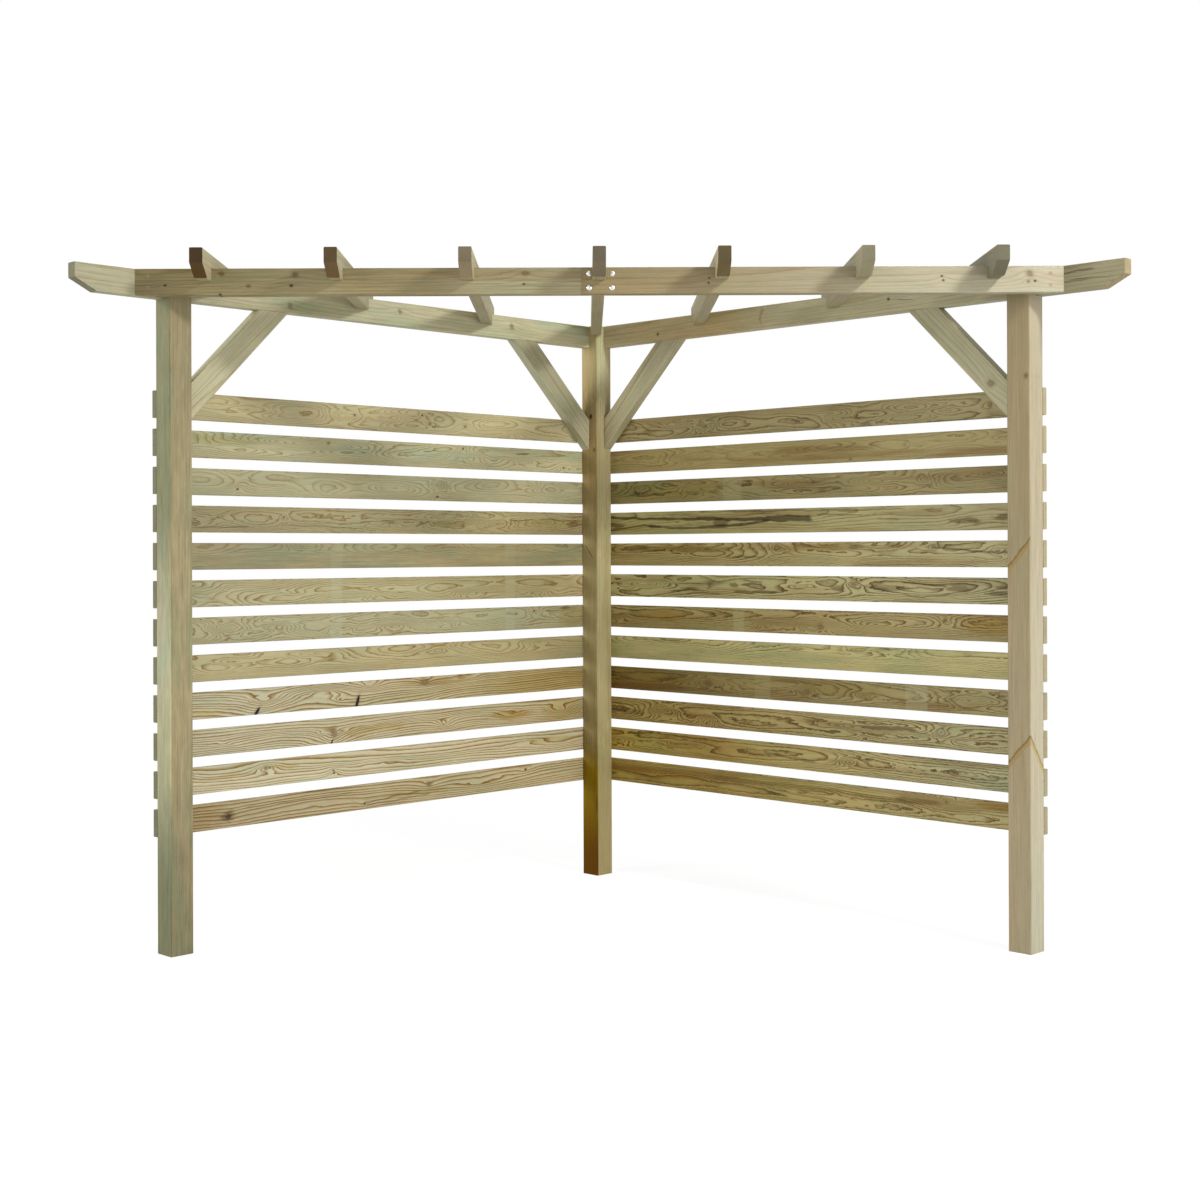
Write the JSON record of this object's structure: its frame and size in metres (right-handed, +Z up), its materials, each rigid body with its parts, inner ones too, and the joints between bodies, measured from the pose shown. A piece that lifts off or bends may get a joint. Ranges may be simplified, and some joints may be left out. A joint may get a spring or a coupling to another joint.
{
  "type": "corner pergola",
  "caption": "Free-standing corner pergola in planed softwood: two slatted side panels at a right angle, square posts, braced beams and notched rafters over a triangular shelter.",
  "frame": {"origin": "centre of the corner post's foot, on the ground", "axes": "+Z up, +X to the right along the front beam, -Y out of the open front; the two panels run at 45 degrees to X and Y"},
  "size_m": [2.793, 1.5013, 1.897],
  "materials": {
    "post_timber": "planed softwood, pressure treated",
    "beam_timber": "planed softwood, pressure treated",
    "brace_timber": "planed softwood, pressure treated",
    "rafter_timber": "planed softwood, pressure treated",
    "left_slat_timber": "planed softwood, pressure treated",
    "right_slat_timber": "planed softwood, pressure treated",
    "screw_steel": "zinc plated",
    "bolt_steel": "bright zinc plated"
  },
  "bodies": {
    "root": {"corner_post": "post_timber", "left_post": "post_timber", "right_post": "post_timber", "left_side_beam": "beam_timber", "right_side_beam": "beam_timber", "front_beam_left": "beam_timber", "front_beam_right": "beam_timber", "left_corner_brace": "brace_timber", "left_front_brace": "brace_timber", "right_corner_brace": "brace_timber", "right_front_brace": "brace_timber", "rafter_1": "rafter_timber", "rafter_2": "rafter_timber", "rafter_3": "rafter_timber", "rafter_4": "rafter_timber", "rafter_5": "rafter_timber", "rafter_6": "rafter_timber", "rafter_7": "rafter_timber", "left_slat_01": "left_slat_timber", "left_slat_02": "left_slat_timber", "left_slat_03": "left_slat_timber", "left_slat_04": "left_slat_timber", "left_slat_05": "left_slat_timber", "left_slat_06": "left_slat_timber", "left_slat_07": "left_slat_timber", "left_slat_08": "left_slat_timber", "left_slat_09": "left_slat_timber", "left_slat_10": "left_slat_timber", "left_slat_11": "left_slat_timber", "left_slat_12": "left_slat_timber", "right_slat_01": "right_slat_timber", "right_slat_02": "right_slat_timber", "right_slat_03": "right_slat_timber", "right_slat_04": "right_slat_timber", "right_slat_05": "right_slat_timber", "right_slat_06": "right_slat_timber", "right_slat_07": "right_slat_timber", "right_slat_08": "right_slat_timber", "right_slat_09": "right_slat_timber", "right_slat_10": "right_slat_timber", "right_slat_11": "right_slat_timber", "right_slat_12": "right_slat_timber", "left_slat_screws": "screw_steel", "right_slat_screws": "screw_steel", "beam_screws": "screw_steel", "front_beam_screws": "screw_steel", "rafter_screws": "screw_steel", "brace_screws": "screw_steel", "lap_bolts": "bolt_steel", "lap_washers": "bolt_steel", "lap_nuts": "bolt_steel"}
  },
  "joints": []
}
